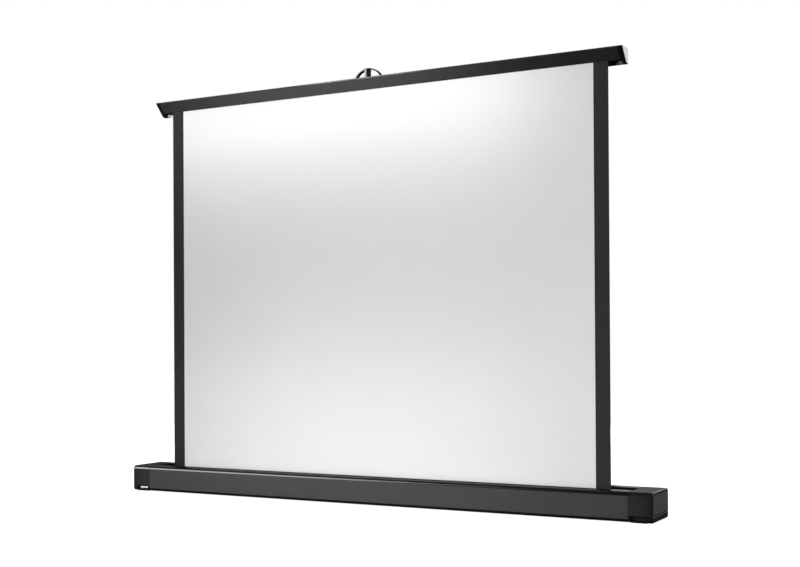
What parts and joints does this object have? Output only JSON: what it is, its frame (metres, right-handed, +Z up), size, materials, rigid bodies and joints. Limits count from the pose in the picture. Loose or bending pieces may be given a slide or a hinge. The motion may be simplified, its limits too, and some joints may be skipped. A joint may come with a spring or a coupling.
{
  "type": "tabletop projection screen",
  "caption": "Pull-up table screen: white sheet with black side borders, wedge top bar with flat bail, long slotted case with spring roller, folding arm and pull-out feet.",
  "frame": {"origin": "on the table, under the middle of the case", "axes": "+X along the case to the viewer's right, +Y to the back, +Z up; the picture faces -Y"},
  "size_m": [1.005, 0.084, 0.7475],
  "materials": {
    "case_metal": "satin dark grey anodised, fine extrusion lines",
    "cap_plastic": "black moulded plastic, fine eroded texture",
    "panel_plastic": "dark grey moulded plastic, satin",
    "trim_metal": "satin clear anodised",
    "sheet_white": "matt white projection cloth, black backing",
    "sheet_black": "matt black masking",
    "gloss_black": "glossy black moulding",
    "strip_black": "black coated spring steel strip",
    "arm_steel": "black powder-coated steel",
    "bright_steel": "zinc-plated steel",
    "bearing_plastic": "natural nylon",
    "pad_rubber": "black rubber"
  },
  "bodies": {
    "base": {"case_profile": "case_metal", "end_cap_left": "cap_plastic", "end_cap_right": "cap_plastic", "foot_guide_left": "cap_plastic", "foot_guide_right": "cap_plastic", "cap_cover_left": "panel_plastic", "cap_cover_right": "panel_plastic", "screen_fabric": "sheet_white", "black_border_left": "sheet_black", "black_border_right": "sheet_black", "arm_bracket": "arm_steel", "base_pin": "bright_steel", "bracket_rivets": "bright_steel", "cap_screws_left": "bright_steel", "cap_screws_right": "bright_steel", "spindle": "bright_steel", "spring_anchor": "bright_steel", "winding_spring": "bright_steel", "spindle_socket": "bearing_plastic", "idle_bush": "bearing_plastic", "base_washer": "bearing_plastic", "rest_pads": "pad_rubber"},
    "roller": {"roller_tube": "bright_steel", "drive_plug": "bearing_plastic", "idle_plug": "bearing_plastic", "fabric_wrap": "sheet_white"},
    "lower_arm": {"lower_link": "arm_steel", "knee_pin": "bright_steel", "knee_washer": "bearing_plastic"},
    "upper_arm": {"upper_link": "arm_steel", "head_washer": "bearing_plastic"},
    "bar": {"top_bar": "case_metal", "bar_end_cap_left": "cap_plastic", "bar_end_cap_right": "cap_plastic", "bar_end_plate_left": "trim_metal", "bar_end_plate_right": "trim_metal", "hem_rod": "bearing_plastic", "bail": "strip_black", "bail_saddle": "gloss_black", "arm_head": "arm_steel", "head_rivets": "bright_steel", "head_pin": "bright_steel"},
    "foot_front_left": {"foot_front_left": "trim_metal"},
    "foot_front_right": {"foot_front_right": "trim_metal"},
    "foot_rear_left": {"foot_rear_left": "trim_metal"},
    "foot_rear_right": {"foot_rear_right": "trim_metal"}
  },
  "joints": [
    {"name": "arm_fold", "type": "hinge", "parent": "base", "child": "lower_arm", "pos_m": [0, 0.0105, 0.02], "axis": [0, 1, 0], "range_deg": [0, 93], "deforming": ["screen_fabric", "black_border_left", "black_border_right"]},
    {"name": "knee_fold", "type": "hinge", "parent": "lower_arm", "child": "upper_arm", "pos_m": [-0.0174, 0.0087, 0.352], "axis": [0, 1, 0], "range_deg": [-186, 0]},
    {"name": "head_pivot", "type": "hinge", "parent": "upper_arm", "child": "bar", "pos_m": [0, 0.0049, 0.684], "axis": [0, 1, 0], "range_deg": [0, 93]},
    {"name": "roller_spin", "type": "hinge", "parent": "base", "child": "roller", "pos_m": [0, -0.02337, 0.026], "axis": [1, 0, 0], "range_deg": [-3140, 0]},
    {"name": "front_left_foot_slide", "type": "slide", "parent": "base", "child": "foot_front_left", "axis": [0, -1, 0], "range_m": [0, 0.025]},
    {"name": "front_right_foot_slide", "type": "slide", "parent": "base", "child": "foot_front_right", "axis": [0, -1, 0], "range_m": [0, 0.025]},
    {"name": "rear_left_foot_slide", "type": "slide", "parent": "base", "child": "foot_rear_left", "axis": [0, 1, 0], "range_m": [0, 0.025]},
    {"name": "rear_right_foot_slide", "type": "slide", "parent": "base", "child": "foot_rear_right", "axis": [0, 1, 0], "range_m": [0, 0.025]}
  ],
  "couplings": [
    {"joint": "knee_fold", "follows": "arm_fold", "ratio": -2},
    {"joint": "head_pivot", "follows": "arm_fold", "ratio": 1},
    {"joint": "roller_spin", "follows": "arm_fold", "ratio": -33.7}
  ]
}
